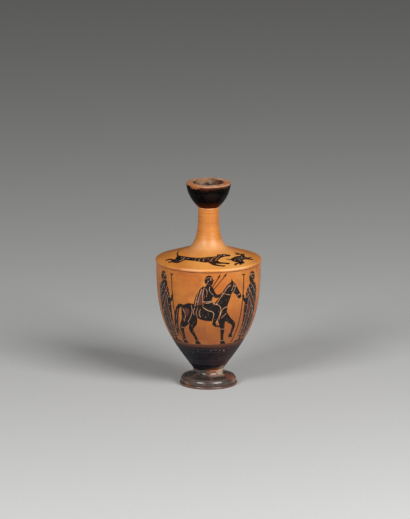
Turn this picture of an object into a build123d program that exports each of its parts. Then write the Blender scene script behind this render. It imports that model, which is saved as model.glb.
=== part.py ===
from build123d import *

import os
from math import cos, radians, sin, tan

# A shoulder lekythos: a one-handled oil flask of fired clay, made in the sections that its
# potter makes. Foot, body, shoulder, neck and mouth are each thrown on the wheel, the handle
# is a pulled strap, and a little slip at every seam lutes the leather-hard sections together.
#
# Millimetres. Z is up, and the origin is on the ground under the middle of the foot. The
# painted front faces -Y and the handle stands at +Y. Outlines are written (radius, height).

# Foot: a flat disc, a rounded bead above it and a short stem
foot_radius = 25.2
foot_disc_height = 2.2
foot_disc_round_radius = 0.9
foot_bead_setback_width = 0.9
foot_bead_radius = 3.9
foot_bead_undercut_angle = 30.0
foot_slope_angle = 18.0
stem_radius = 13.3
stem_fillet_radius = 2.5
stem_height = 2.0
foot_ring_width = 7.7
foot_hollow_depth = 7.0
foot_seat_dish_depth = 1.0

# Body: a cone that rounds up into a nearly upright wall
body_height = 95.4
belly_radius = 45.5
body_flare_angle = 37.0
body_lower_fullness_ratio = 0.46
body_upper_fullness_ratio = 0.5
body_wall = 3.8

# Shoulder: a sloping lid with a rounded edge that stands a little proud of the body
shoulder_overhang_width = 0.7
shoulder_edge_height = 2.4
shoulder_edge_round_radius = 1.6
shoulder_edge_under_round_radius = 0.5
shoulder_rise_height = 8.4
shoulder_wall = 4.0

# Neck: a tube that flares down into the shoulder
neck_height = 37.6
neck_base_radius = 20.0
neck_top_radius = 9.1
neck_lower_fullness_ratio = 0.32
neck_upper_fullness_ratio = 0.36
neck_wall = 3.3
neck_seat_width = 6.5
neck_base_wall = 3.5
neck_bore_flare_height = 24.0
neck_seat_height = 1.5

# Mouth: a bowl on the neck, with a broad flat rim and a cup inside. The bowl's lower and upper
# walls, run on straight, would meet at its turn.
mouth_height = 21.8
mouth_turn_height = 9.4
mouth_turn_radius = 18.9
lip_radius = 19.6
lip_round_radius = 0.8
rim_width = 6.3
cup_depth = 13.5

# Handle: a strap from the neck, over and down to the shoulder
strap_width = 11.6
strap_thickness = 5.6
strap_outer_crown_height = 1.5
strap_inner_crown_height = 0.7
strap_edge_round_radius = 1.6
strap_neck_ratio = 1.1
strap_shoulder_ratio = 1.4
handle_drop_height = 10.0
handle_climb_height = 6.0
handle_knuckle_distance = 12.0
handle_elbow_drop_height = 9.0
handle_elbow_bow_width = 1.0
handle_root_setback_width = 15.6
handle_knuckle_bend_radius = 11.0
handle_elbow_bend_radius = 12.0

# Slip at the seams
luting_bevel_width = 0.9
luting_swell_height = 0.25
luting_pad_thickness = 0.7
luting_clearance_width = 0.05
luting_margin_width = 1.1


def thrown(*edges):
    """The solid that a closed outline of (radius, height) edges makes on the wheel."""
    return revolve(make_face([Plane.XZ * edge for edge in edges]), Axis.Z)


def left_of(start, end):
    """The direction to the left of the way from start to end."""
    way = Vector(*end) - Vector(*start)
    return Vector(-way.Y, way.X).normalized()


def beside(control, distance):
    """A four-point curve that runs beside another, to its left by the distance."""
    points = [Vector(*point) for point in control]
    first = left_of(control[0], control[1]) * distance
    last = left_of(control[2], control[3]) * distance
    moved = (points[0] + first, points[1] + first, points[2] + last, points[3] + last)
    return [(point.X, point.Y) for point in moved]


def luting_ring(seam, free_start, free_end):
    """A ring of slip in the bevel of a seam, whose free side swells away from the seam."""
    out = left_of(free_start, free_end)
    middle = (Vector(*free_start) + Vector(*free_end)) * 0.5
    if out.dot(middle - Vector(*seam)) < 0:
        out = -out
    crest = middle + out * luting_swell_height
    return thrown(
        Line(seam, free_start),
        ThreePointArc(free_start, (crest.X, crest.Y), free_end),
        Line(free_end, seam),
    )


def circles_at(turned, point):
    """The round edge of a thrown solid at an outline point."""
    return turned.edges().filter_by(
        lambda edge: edge.geom_type == GeomType.CIRCLE
        and abs(edge.radius - point[0]) < 1e-6
        and abs(edge.center().Z - point[1]) < 1e-6
    )


def on_line(start, end, radius):
    """The point of a straight outline at a radius."""
    share = (radius - start[0]) / (end[0] - start[0])
    return (radius, start[1] + share * (end[1] - start[1]))


# Foot outline: the bead's arc runs from the disc up to where it meets the foot's slope, and
# a fillet turns that slope upright into the stem.
bead_centre = (
    foot_radius - foot_bead_setback_width - foot_bead_radius,
    foot_disc_height + foot_bead_radius * sin(radians(foot_bead_undercut_angle)),
)
bead_end_angle = 90.0 - foot_slope_angle
bead_end = (
    bead_centre[0] + foot_bead_radius * cos(radians(bead_end_angle)),
    bead_centre[1] + foot_bead_radius * sin(radians(bead_end_angle)),
)
slope_top_radius = stem_radius + stem_fillet_radius * (1 - sin(radians(foot_slope_angle)))
slope_run = bead_end[0] - slope_top_radius
slope_top = (slope_top_radius, bead_end[1] + slope_run * tan(radians(foot_slope_angle)))
stem_foot = (stem_radius, slope_top[1] + stem_fillet_radius * cos(radians(foot_slope_angle)))

# Seams, from the ground up
foot_top = stem_foot[1] + stem_height
body_top = foot_top + body_height
shoulder_slope_foot = (
    belly_radius + shoulder_overhang_width,
    body_top + shoulder_edge_height,
)
neck_base = (neck_base_radius, shoulder_slope_foot[1] + shoulder_rise_height)
neck_top = (neck_top_radius, neck_base[1] + neck_height)
rim_top = neck_top[1] + mouth_height

# The foot's seat is a shallow dish that holds the rounded bottom of the body.
foot_seat_middle = (0.0, foot_top - foot_seat_dish_depth)
foot_seam = (stem_radius, foot_top)
foot_seam_inner = on_line(foot_seat_middle, foot_seam, stem_radius - luting_bevel_width)
foot_seam_lower = (stem_radius, foot_top - luting_bevel_width)

# Body wall, outside and inside
body_curve = [
    foot_seam,
    (
        stem_radius + body_height * body_lower_fullness_ratio * sin(radians(body_flare_angle)),
        foot_top + body_height * body_lower_fullness_ratio * cos(radians(body_flare_angle)),
    ),
    (belly_radius, body_top - body_height * body_upper_fullness_ratio),
    (belly_radius, body_top),
]
body_seam = body_curve[-1]
cavity_curve = beside(body_curve, body_wall)

# The shoulder's underside runs beside its slope, and the seam with the body goes from the
# outside of the body to where that underside meets the inside of the body wall.
shoulder_slope = (shoulder_slope_foot, neck_base)
under_shift = left_of(*shoulder_slope) * shoulder_wall
underside = [
    (point[0] + under_shift.X, point[1] + under_shift.Y) for point in shoulder_slope
]
cavity_radius = belly_radius - body_wall
body_seam_inner = on_line(*underside, cavity_radius)
body_bevel_top = on_line(body_seam, body_seam_inner, cavity_radius + luting_bevel_width)
body_bevel_foot = (cavity_radius, body_seam_inner[1] - luting_bevel_width)

# The neck stands in the shoulder's opening on a slanting seat.
shoulder_opening_radius = neck_base_radius - neck_seat_width
neck_seat_inner = on_line(*underside, shoulder_opening_radius)
neck_bevel_top = on_line(neck_base, neck_seat_inner, shoulder_opening_radius + luting_bevel_width)
neck_bevel_foot = on_line(*underside, shoulder_opening_radius + luting_bevel_width)

# The mouth sits on the bevelled top of the neck.
neck_bore_radius = neck_top_radius - neck_wall
mouth_seat_inner = (neck_bore_radius, neck_top[1] + neck_seat_height)
mouth_bevel_top = on_line(neck_top, mouth_seat_inner, neck_top_radius - luting_bevel_width)
mouth_bevel_foot = (neck_top_radius, neck_top[1] - luting_bevel_width)

# The neck's outer face leaves the shoulder along its slope and ends upright.
slope_way = (Vector(*neck_base) - Vector(*shoulder_slope_foot)).normalized()
neck_curve = [
    neck_base,
    (
        neck_base[0] + neck_height * neck_lower_fullness_ratio * slope_way.X,
        neck_base[1] + neck_height * neck_lower_fullness_ratio * slope_way.Y,
    ),
    (neck_top_radius, mouth_bevel_foot[1] - neck_height * neck_upper_fullness_ratio),
    mouth_bevel_foot,
]


def foot():
    """The disc, bead and stem, hollowed underneath, with a flat ring to stand on."""
    bead_start = (
        bead_centre[0] + foot_bead_radius * cos(radians(foot_bead_undercut_angle)),
        foot_disc_height,
    )
    disc_top = (foot_radius, foot_disc_height)
    disc_foot = (foot_radius, 0.0)
    hollow_top = (0.0, foot_hollow_depth)
    hollow_edge = (foot_radius - foot_ring_width, 0.0)
    turned = thrown(
        Line(foot_seat_middle, foot_seam_inner),
        Line(foot_seam_inner, foot_seam_lower),
        Line(foot_seam_lower, stem_foot),
        TangentArc(stem_foot, slope_top, tangent=(0.0, -1.0)),
        Line(slope_top, bead_end),
        CenterArc(
            bead_centre,
            foot_bead_radius,
            -foot_bead_undercut_angle,
            foot_bead_undercut_angle + bead_end_angle,
        ),
        Polyline(bead_start, disc_top, disc_foot, hollow_edge),
        TangentArc(hollow_top, hollow_edge, tangent=(1.0, 0.0)),
        Line(hollow_top, foot_seat_middle),
    )
    disc_edges = turned.edges().filter_by(
        lambda edge: edge.geom_type == GeomType.CIRCLE and abs(edge.radius - foot_radius) < 1e-6
    )
    return fillet(disc_edges, min(foot_disc_round_radius, 0.45 * foot_disc_height))


def body():
    """The thrown wall from the foot to the shoulder, closed by its own floor."""
    floor_edge = cavity_curve[0]
    floor_middle = (0.0, floor_edge[1])
    inner_curve = [floor_edge, cavity_curve[1], cavity_curve[2], body_bevel_foot]
    return thrown(
        Line(foot_seat_middle, foot_seam),
        Bezier(*body_curve),
        Line(body_seam, body_bevel_top),
        Line(body_bevel_top, body_bevel_foot),
        Bezier(*inner_curve),
        Line(floor_edge, floor_middle),
        Line(floor_middle, foot_seat_middle),
    )


def shoulder():
    """The sloping lid with its rounded edge and the opening for the neck."""
    edge_foot = (shoulder_slope_foot[0], body_top)
    turned = thrown(
        Polyline(
            body_seam_inner,
            body_seam,
            edge_foot,
            shoulder_slope_foot,
            neck_base,
            neck_bevel_top,
            neck_bevel_foot,
            body_seam_inner,
        )
    )
    upper = min(shoulder_edge_round_radius, 0.7 * shoulder_edge_height)
    lower = min(
        shoulder_edge_under_round_radius,
        0.3 * shoulder_edge_height,
        0.75 * shoulder_overhang_width,
    )
    rounded = fillet(circles_at(turned, shoulder_slope_foot), upper)
    return fillet(circles_at(rounded, edge_foot), lower)


def neck():
    """The flaring tube, seated in the shoulder and bevelled on top for the mouth."""
    bore_foot = (shoulder_opening_radius - neck_base_wall, neck_seat_inner[1])
    bore_turn = (neck_bore_radius, neck_seat_inner[1] + neck_bore_flare_height / 2)
    bore_start = (neck_bore_radius, neck_seat_inner[1] + neck_bore_flare_height)
    return thrown(
        Line(neck_seat_inner, neck_base),
        Bezier(*neck_curve),
        Line(mouth_bevel_foot, mouth_bevel_top),
        Line(mouth_bevel_top, mouth_seat_inner),
        Line(mouth_seat_inner, bore_start),
        Bezier(bore_start, bore_turn, bore_foot),
        Line(bore_foot, neck_seat_inner),
    )


def mouth():
    """The bowl, its broad flat rim and the cup that drains into the neck."""
    turn = (mouth_turn_radius, neck_top[1] + mouth_turn_height)
    lip = (lip_radius, rim_top)
    rim_inner = (lip_radius - rim_width, rim_top)
    cup_foot = (neck_bore_radius, rim_top - cup_depth)
    turned = thrown(
        Line(mouth_seat_inner, neck_top),
        Bezier(neck_top, turn, lip),
        Line(lip, rim_inner),
        TangentArc(rim_inner, cup_foot, tangent=(0.0, -1.0)),
        Line(cup_foot, mouth_seat_inner),
    )
    rim_edges = turned.edges().filter_by(
        lambda edge: edge.geom_type == GeomType.CIRCLE and abs(edge.center().Z - rim_top) < 1e-6
    )
    return fillet(rim_edges, min(lip_round_radius, 0.45 * rim_width))


def strap_section(plane, ratio=1.0, margin=0.0):
    """The strap's section: a crowned outer face, a flatter inner one and rounded edges."""
    side = strap_width * ratio / 2 + margin
    face_height = strap_thickness * ratio / 2 + margin
    outer = face_height - strap_outer_crown_height * ratio
    inner = strap_inner_crown_height * ratio - face_height
    face = make_face(
        [
            ThreePointArc((-side, outer), (0, face_height), (side, outer)),
            Line((side, outer), (side, inner)),
            ThreePointArc((side, inner), (0, -face_height), (-side, inner)),
            Line((-side, inner), (-side, outer)),
        ]
    )
    rounding = min(strap_edge_round_radius * ratio + margin, 0.5 * (outer - inner))
    return plane * fillet(face.vertices(), rounding)


def across(path, share):
    """The plane square to the handle's path, its Y pointing out of the loop."""
    return Plane(path @ share, x_dir=(-1, 0, 0), z_dir=path % share)


def bend(before, corner, after, wanted):
    """The wanted bend at a corner of the handle's path, or the largest that its runs allow."""
    run_in = Vector(*corner) - Vector(*before)
    run_out = Vector(*after) - Vector(*corner)
    shorter = min(run_in.length, run_out.length)
    return min(wanted, 0.48 * shorter / tan(radians(run_in.get_angle(run_out)) / 2))


# The handle's path starts in the wall of the neck, climbs to its knuckle, turns down over its
# elbow and ends in the wall of the shoulder.
handle_root_radius = shoulder_slope_foot[0] - handle_root_setback_width
handle_root = on_line(*shoulder_slope, handle_root_radius)
handle_height = neck_top[1] - handle_drop_height
knuckle_height = handle_height + handle_climb_height
path_start = (0, neck_bore_radius, handle_height)
path_knuckle = (0, neck_top_radius + handle_knuckle_distance, knuckle_height)
path_elbow = (
    0,
    handle_root_radius + handle_elbow_bow_width,
    knuckle_height - handle_elbow_drop_height,
)
path_end = (0, handle_root_radius, handle_root[1] - shoulder_wall)
handle_path = FilletPolyline(
    path_start,
    path_knuckle,
    path_elbow,
    path_end,
    radius=[
        bend(path_start, path_knuckle, path_elbow, handle_knuckle_bend_radius),
        bend(path_knuckle, path_elbow, path_end, handle_elbow_bend_radius),
    ],
)


def neck_skin(depth):
    """Everything inside the neck's outer face, grown by a depth of slip."""
    curve = beside(neck_curve, -depth)
    foot_point, top_point = curve[0], curve[3]
    return thrown(
        Line((0.0, foot_point[1]), foot_point),
        Bezier(*curve),
        Line(top_point, (0.0, top_point[1])),
        Line((0.0, top_point[1]), (0.0, foot_point[1])),
    )


def shoulder_skin(depth):
    """Everything under the shoulder's slope, raised by a depth of slip."""
    out = left_of(*shoulder_slope) * -depth
    low, high = [(point[0] + out.X, point[1] + out.Y) for point in shoulder_slope]
    return thrown(Polyline((0.0, 0.0), (low[0], 0.0), low, high, (0.0, high[1]), (0.0, 0.0)))


def handle():
    """The pulled strap, broader at both roots, trimmed to the slip that it is pressed into."""
    stations = (
        (0.0, strap_neck_ratio),
        (0.3, 1.0),
        (0.7, 1.0),
        (1.0, strap_shoulder_ratio),
    )
    sections = [strap_section(across(handle_path, share), ratio) for share, ratio in stations]
    strap = sweep(sections, path=handle_path, multisection=True)
    return strap - neck_skin(luting_pad_thickness) - shoulder_skin(luting_pad_thickness)


def handle_luting(share, ratio, skin, reach):
    """The smear of slip under one root of the handle, a little larger than the strap."""
    plane = across(handle_path, share)
    section = strap_section(plane, ratio, luting_margin_width)
    prism = extrude(section, amount=reach, dir=plane.z_dir, both=True)
    return prism & (skin(luting_pad_thickness) - skin(luting_clearance_width))


pieces = {
    "foot": foot(),
    "foot_luting": luting_ring(foot_seam_inner, foot_seam, foot_seam_lower),
    "body": body(),
    "shoulder_luting": luting_ring(body_bevel_top, body_bevel_foot, body_seam_inner),
    "shoulder": shoulder(),
    "neck_luting": luting_ring(neck_bevel_top, neck_bevel_foot, neck_seat_inner),
    "neck": neck(),
    "mouth_luting": luting_ring(mouth_bevel_top, mouth_bevel_foot, neck_top),
    "mouth": mouth(),
    "handle": handle(),
    "handle_neck_luting": handle_luting(0.0, strap_neck_ratio, neck_skin, neck_bore_radius),
    "handle_shoulder_luting": handle_luting(
        1.0, strap_shoulder_ratio, shoulder_skin, shoulder_wall * 2
    ),
}

os.makedirs("parts", exist_ok=True)
for name, piece in pieces.items():
    export_step(piece, f"parts/{name}.step")
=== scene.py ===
import math
import random

import bmesh
import bpy
import numpy as np
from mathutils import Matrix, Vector
from mathutils.geometry import delaunay_2d_cdt


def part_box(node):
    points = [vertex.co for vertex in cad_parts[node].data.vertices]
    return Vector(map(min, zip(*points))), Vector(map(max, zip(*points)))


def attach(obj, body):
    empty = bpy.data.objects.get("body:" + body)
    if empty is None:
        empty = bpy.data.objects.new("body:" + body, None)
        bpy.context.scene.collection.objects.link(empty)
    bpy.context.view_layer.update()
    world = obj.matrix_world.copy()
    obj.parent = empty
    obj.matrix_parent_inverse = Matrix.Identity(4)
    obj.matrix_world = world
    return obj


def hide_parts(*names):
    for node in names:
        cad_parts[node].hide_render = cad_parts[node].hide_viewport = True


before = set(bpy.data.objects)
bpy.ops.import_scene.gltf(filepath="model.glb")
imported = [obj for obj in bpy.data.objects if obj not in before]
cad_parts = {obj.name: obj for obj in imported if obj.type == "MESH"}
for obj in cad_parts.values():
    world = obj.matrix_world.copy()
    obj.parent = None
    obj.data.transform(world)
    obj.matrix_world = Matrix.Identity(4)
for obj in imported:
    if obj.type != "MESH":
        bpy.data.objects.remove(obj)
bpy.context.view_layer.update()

# A black-figure lekythos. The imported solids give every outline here: the thrown walls are
# turned again from them with a smoother surface, and the painting is laid on those walls as
# thin films of slip. Lengths are metres, and the painter's drawing is in millimetres.

MM = 0.001
TINY = 1e-9

# Thrown walls
WALL_STEP = 0.8 * MM
WALL_STEPS_AROUND = 192
WALL_WOBBLE = 0.10 * MM
WOBBLE_CLOSENESS = 34.0
WOBBLE_FULL_RADIUS = 12 * MM
ROW_WELD = 0.002 * MM
CORNER_TURN = math.radians(28)
LONG_RUN = 2.5

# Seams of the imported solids
SEAM_WELD = 1e-6
SEAM_TOLERANCE = 2e-6
CLEAR_OF_AXIS = 5 * MM

# Paint films, measured from the wall they lie on
FILM_FOOT = -0.03 * MM
THIN_FILM_TOP = 0.03 * MM
LINE_FILM_TOP = 0.035 * MM
BLACK_FILM_TOP = 0.06 * MM
RED_FILM_TOP = 0.085 * MM
WHITE_FILM_TOP = 0.16 * MM

# White dots
DOT_RADIUS = 0.42 * MM
DOT_TOP_SHARE = 0.7
DOT_SIDES = 10
DOT_SIZES = (0.75, 1.2)
DOT_SEED = 4

# Films that run right round the vessel
RING_STEPS = 256
RING_ROW = 1.5 * MM
RING_WAVES = (2, 5, 9, 17, 31)
RING_WAVE_SIZES = (0.3, 1.0)
RING_SEED = 7

# The painter's drawing, in millimetres
BRUSH_STEP = 0.7
THINNEST = 0.1
ROUND_END_STEPS = 6
CIRCLE_STEPS = 12
FILM_STEP = 1.3
FILM_RIM_SHARE = 0.6
SAME_CORNER = 1e-4

# Where a slab of film lies across its strip of the bake: start and width
TOP_STRIP = (0.0, 0.97)
HIDDEN_STRIP = (0.98, 0.02)
STRIP_FILL = 0.98

# Heights on the vessel, in millimetres
BLACK_ZONE = (14.45, 40.0)
WASH_BAND = (39.6, 42.4)
FRIEZE_GROUND = 42.6
# The dark line under the lip is partly a painted line and partly painted shadow under the lip.
EDGE_LINE_AND_SHADOW = (109.0, 109.5)
CHASE_GROUND = 113.5


# Node trees


class Nodes:
    """Short calls that fill a node tree."""

    def __init__(self, tree):
        self.tree = tree

    def feed(self, socket, value):
        if isinstance(value, bpy.types.NodeSocket):
            self.tree.links.new(value, socket)
        else:
            socket.default_value = value

    def add(self, kind, inputs=None, **settings):
        node = self.tree.nodes.new(kind)
        for name, value in settings.items():
            setattr(node, name, value)
        for name, value in (inputs or {}).items():
            self.feed(node.inputs[name], value)
        return node

    def math(self, operation, *values, clamp=False):
        inputs = dict(enumerate(values))
        return self.add("ShaderNodeMath", inputs, operation=operation, use_clamp=clamp).outputs[0]

    def times(self, a, b):
        return self.math("MULTIPLY", a, b)

    def raised(self, start, value, share):
        """A start value plus a share of another."""
        return self.math("ADD", self.times(value, share), start)

    def xyz(self, vector):
        return self.add("ShaderNodeSeparateXYZ", {0: vector}).outputs

    def vector(self, x, y, z):
        return self.add("ShaderNodeCombineXYZ", {0: x, 1: y, 2: z}).outputs[0]

    def vector_math(self, operation, *vectors, output=0):
        inputs = dict(enumerate(vectors))
        return self.add("ShaderNodeVectorMath", inputs, operation=operation).outputs[output]


def geometry_tree(name, inputs):
    """The helper of a geometry tree with named inputs, and its input sockets."""
    tree = bpy.data.node_groups.new(name, "GeometryNodeTree")
    tree.interface.new_socket("Geometry", in_out="INPUT", socket_type="NodeSocketGeometry")
    for label, kind in inputs:
        tree.interface.new_socket(label, in_out="INPUT", socket_type=kind)
    tree.interface.new_socket("Geometry", in_out="OUTPUT", socket_type="NodeSocketGeometry")
    nodes = Nodes(tree)
    return nodes, nodes.add("NodeGroupInput").outputs


def finish_tree(nodes, geometry, material):
    """Ends a tree: sharp edges by angle, plain geometry and its material."""
    angle = nodes.add("GeometryNodeInputMeshEdgeAngle").outputs["Unsigned Angle"]
    corner = nodes.math("GREATER_THAN", angle, CORNER_TURN)
    smooth = nodes.add(
        "GeometryNodeSetShadeSmooth", {0: geometry, "Shade Smooth": True}, domain="FACE"
    )
    sharp = nodes.add(
        "GeometryNodeSetShadeSmooth",
        {0: smooth.outputs[0], "Selection": corner, "Shade Smooth": False},
        domain="EDGE",
    )
    plain = nodes.add("GeometryNodeRealizeInstances", {0: sharp.outputs[0]})
    dressed = nodes.add("GeometryNodeSetMaterial", {0: plain.outputs[0], "Material": material})
    nodes.add("NodeGroupOutput", {0: dressed.outputs[0]})
    return nodes.tree


def wheel_point_group():
    """Where a radius and height come to lie on the wheel, with the wall's slight unevenness."""
    tree = bpy.data.node_groups.new("wheel point", "GeometryNodeTree")
    for label in ("Radius", "Height", "Bearing", "Wobble"):
        tree.interface.new_socket(label, in_out="INPUT", socket_type="NodeSocketFloat")
    tree.interface.new_socket("Position", in_out="OUTPUT", socket_type="NodeSocketVector")
    nodes = Nodes(tree)
    given = nodes.add("NodeGroupInput").outputs
    sine = nodes.math("SINE", given["Bearing"])
    cosine = nodes.math("COSINE", given["Bearing"])
    true_x = nodes.times(given["Radius"], sine)
    true_y = nodes.times(given["Radius"], cosine)
    true_place = nodes.vector(true_x, true_y, given["Height"])
    unevenness = nodes.add(
        "ShaderNodeTexNoise", {"Vector": true_place, "Scale": WOBBLE_CLOSENESS, "Detail": 1.0}
    )
    off_axis = nodes.math("MULTIPLY", given["Radius"], 1 / WOBBLE_FULL_RADIUS, clamp=True)
    depth = nodes.times(unevenness.outputs[0], given["Wobble"])
    radius = nodes.math("SUBTRACT", given["Radius"], nodes.times(depth, off_axis))
    x = nodes.times(radius, sine)
    y = nodes.times(radius, nodes.times(cosine, -1.0))
    nodes.add("NodeGroupOutput", {0: nodes.vector(x, y, given["Height"])})
    return tree


WHEEL_POINT = wheel_point_group()


def on_wheel(nodes, geometry, radius, height, bearing, wobble):
    """A geometry with its points set on the wheel."""
    place = {"Radius": radius, "Height": height, "Bearing": bearing, "Wobble": wobble}
    point = nodes.add("GeometryNodeGroup", place, node_tree=WHEEL_POINT)
    turned = nodes.add("GeometryNodeSetPosition", {0: geometry, "Position": point.outputs[0]})
    return turned.outputs[0]


def thrown_wall_tree():
    """Turns an outline into a closed wall, one row of faces for each of its points."""
    nodes, given = geometry_tree(
        "thrown wall",
        (
            ("Outline", "NodeSocketObject"),
            ("Steps around", "NodeSocketInt"),
            ("Wobble", "NodeSocketFloat"),
            ("Material", "NodeSocketMaterial"),
        ),
    )
    outline = nodes.add("GeometryNodeObjectInfo", {"Object": given["Outline"]}).outputs["Geometry"]
    size = nodes.add("GeometryNodeAttributeDomainSize", {0: outline}, component="CURVE")
    rows = size.outputs["Point Count"]
    grid = nodes.add(
        "GeometryNodeMeshGrid",
        {
            "Size X": 1.0,
            "Size Y": 1.0,
            "Vertices X": nodes.math("ADD", given["Steps around"], 1.0),
            "Vertices Y": rows,
        },
    )
    position = nodes.add("GeometryNodeInputPosition").outputs[0]
    on_grid = nodes.xyz(position)
    share_along = nodes.math("ADD", on_grid[1], 0.5)
    share_around = nodes.math("ADD", on_grid[0], 0.5)
    row = nodes.math("ROUND", nodes.times(share_along, nodes.math("SUBTRACT", rows, 1.0)))
    on_outline = nodes.add(
        "GeometryNodeSampleIndex",
        {0: outline, "Value": position, "Index": row},
        data_type="FLOAT_VECTOR",
        domain="POINT",
    )
    radius, _, height = nodes.xyz(on_outline.outputs[0])
    bearing = nodes.times(share_around, math.tau)
    unwrapped = nodes.add(
        "GeometryNodeStoreNamedAttribute",
        {0: grid.outputs["Mesh"], "Name": "OFBake", "Value": grid.outputs["UV Map"]},
        data_type="FLOAT2",
        domain="CORNER",
    )
    turned = on_wheel(nodes, unwrapped.outputs[0], radius, height, bearing, given["Wobble"])
    closed = nodes.add("GeometryNodeMergeByDistance", {0: turned, "Distance": ROW_WELD})
    return finish_tree(nodes, closed.outputs[0], given["Material"])


def laid_on_wall(nodes, geometry, given):
    """Lays a flat drawing on a wall: x runs round it, y along its outline, z out of it."""
    outline = nodes.add("GeometryNodeObjectInfo", {"Object": given["Outline"]}).outputs["Geometry"]
    place = nodes.xyz(nodes.add("GeometryNodeInputPosition").outputs[0])
    on_outline = nodes.add(
        "GeometryNodeSampleCurve",
        {"Curves": outline, "Length": nodes.math("ADD", given["Ground"], place[1])},
        mode="LENGTH",
    )
    foot = nodes.xyz(on_outline.outputs["Position"])
    way = nodes.xyz(on_outline.outputs["Tangent"])
    radius = nodes.math("ADD", foot[0], nodes.times(way[2], place[2]))
    height = nodes.math("SUBTRACT", foot[2], nodes.times(way[0], place[2]))
    middle = nodes.add("GeometryNodeInputNamedAttribute", {"Name": "bearing"}, data_type="FLOAT")
    round_it = nodes.math("DIVIDE", place[0], foot[0])
    bearing = nodes.math("ADD", middle.outputs[0], round_it)
    return on_wheel(nodes, geometry, radius, height, bearing, given["Wobble"])


ON_WALL_INPUTS = (
    ("Outline", "NodeSocketObject"),
    ("Ground", "NodeSocketFloat"),
    ("Wobble", "NodeSocketFloat"),
    ("Material", "NodeSocketMaterial"),
)
DOT_INPUTS = (("Dot radius", "NodeSocketFloat"), ("Dot height", "NodeSocketFloat"))


def painted_film_tree():
    """Lays a flat film of paint on a wall."""
    nodes, given = geometry_tree("painted film", ON_WALL_INPUTS)
    return finish_tree(nodes, laid_on_wall(nodes, given["Geometry"], given), given["Material"])


def paint_dots_tree():
    """Sets a low dot of thick paint on every point of a drawing, and lays them on a wall."""
    nodes, given = geometry_tree("paint dots", ON_WALL_INPUTS + DOT_INPUTS)
    dot = nodes.add(
        "GeometryNodeMeshCone",
        {
            "Vertices": DOT_SIDES,
            "Side Segments": 1,
            "Fill Segments": 1,
            "Radius Top": nodes.times(given["Dot radius"], DOT_TOP_SHARE),
            "Radius Bottom": given["Dot radius"],
            "Depth": given["Dot height"],
        },
    )
    least, most = DOT_SIZES
    size = nodes.add(
        "FunctionNodeRandomValue", {2: least, 3: most, "Seed": DOT_SEED}, data_type="FLOAT"
    )
    dots = nodes.add(
        "GeometryNodeInstanceOnPoints",
        {0: given["Geometry"], "Instance": dot.outputs["Mesh"], "Scale": size.outputs[1]},
    )
    flat = nodes.add("GeometryNodeRealizeInstances", {0: dots.outputs[0]})
    return finish_tree(nodes, laid_on_wall(nodes, flat.outputs[0], given), given["Material"])


THROWN_WALL = thrown_wall_tree()
PAINTED_FILM = painted_film_tree()
PAINT_DOTS = paint_dots_tree()


def made_by(tree, name, mesh=None, **values):
    """The plain mesh object that a tree makes, with its inputs set by their labels."""
    piece = bpy.data.objects.new(name, mesh or bpy.data.meshes.new(name))
    bpy.context.scene.collection.objects.link(piece)
    modifier = piece.modifiers.new(name, "NODES")
    modifier.node_group = tree
    for item in tree.interface.items_tree:
        label = item.name.replace(" ", "_").lower()
        if item.in_out == "INPUT" and label in values:
            modifier[item.identifier] = values[label]
    seen = piece.evaluated_get(bpy.context.evaluated_depsgraph_get())
    made = bpy.data.meshes.new_from_object(seen)
    piece.modifiers.clear()
    piece.data = made
    made.name = name
    return piece


# Outlines of the thrown nodes


def seam_points(node):
    """The (radius, height) points of a thrown node's seam, in order round its outline."""
    mesh = bmesh.new()
    mesh.from_mesh(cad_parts[node].data)
    bmesh.ops.remove_doubles(mesh, verts=mesh.verts, dist=SEAM_WELD)
    beside = {}
    for edge in mesh.edges:
        if all(abs(v.co.y) < SEAM_TOLERANCE and v.co.x > -SEAM_TOLERANCE for v in edge.verts):
            for here, there in (edge.verts, reversed(edge.verts)):
                beside.setdefault(here.index, []).append(there.index)
    mesh.verts.ensure_lookup_table()
    point = {i: Vector((max(mesh.verts[i].co.x, 0.0), mesh.verts[i].co.z)) for i in beside}
    mesh.free()
    ends = [i for i, others in beside.items() if len(others) == 1]
    lowest = min(beside, key=lambda i: (round(point[i].y, 6), -point[i].x))
    start = min(ends, key=lambda i: point[i].y) if ends else lowest
    chain = [start]
    while True:
        ways = [i for i in beside[chain[-1]] if i not in chain]
        if not ways:
            break
        chain.append(ways[0])
    points = [point[i] for i in chain]
    area = sum(a.x * b.y - b.x * a.y for a, b in zip(points, points[1:] + points[:1]))
    if area < 0:
        points = points[::-1] if ends else points[:1] + points[:0:-1]
    if not ends:
        return points + points[:1]
    if points[-1].x > SEAM_TOLERANCE:
        points.append(Vector((0.0, points[-1].y)))
    return points


def smooth_outline(points):
    """Fills an outline in along smooth curves, with its corners and straight runs kept."""
    runs = [b - a for a, b in zip(points, points[1:])]
    leaving, arriving = [], []
    for i in range(len(points)):
        before = runs[i - 1] if i else runs[0]
        after = runs[i] if i < len(runs) else runs[-1]
        if before.angle(after, 0.0) > CORNER_TURN:
            arriving.append(before.normalized())
            leaving.append(after.normalized())
            continue
        if before.length > LONG_RUN * after.length:
            way = before.normalized()
        elif after.length > LONG_RUN * before.length:
            way = after.normalized()
        else:
            weighted = before.normalized() * after.length + after.normalized() * before.length
            way = weighted.normalized()
        arriving.append(way)
        leaving.append(way)
    filled = []
    for i, run in enumerate(runs):
        steps = max(1, math.ceil(run.length / WALL_STEP))
        for step in range(steps):
            t = step / steps
            out_of = leaving[i] * run.length * (t**3 - 2 * t**2 + t)
            into = arriving[i + 1] * run.length * (t**3 - t**2)
            filled.append(points[i] + run * (3 * t**2 - 2 * t**3) + out_of + into)
    return filled + [points[-1]]


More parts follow.
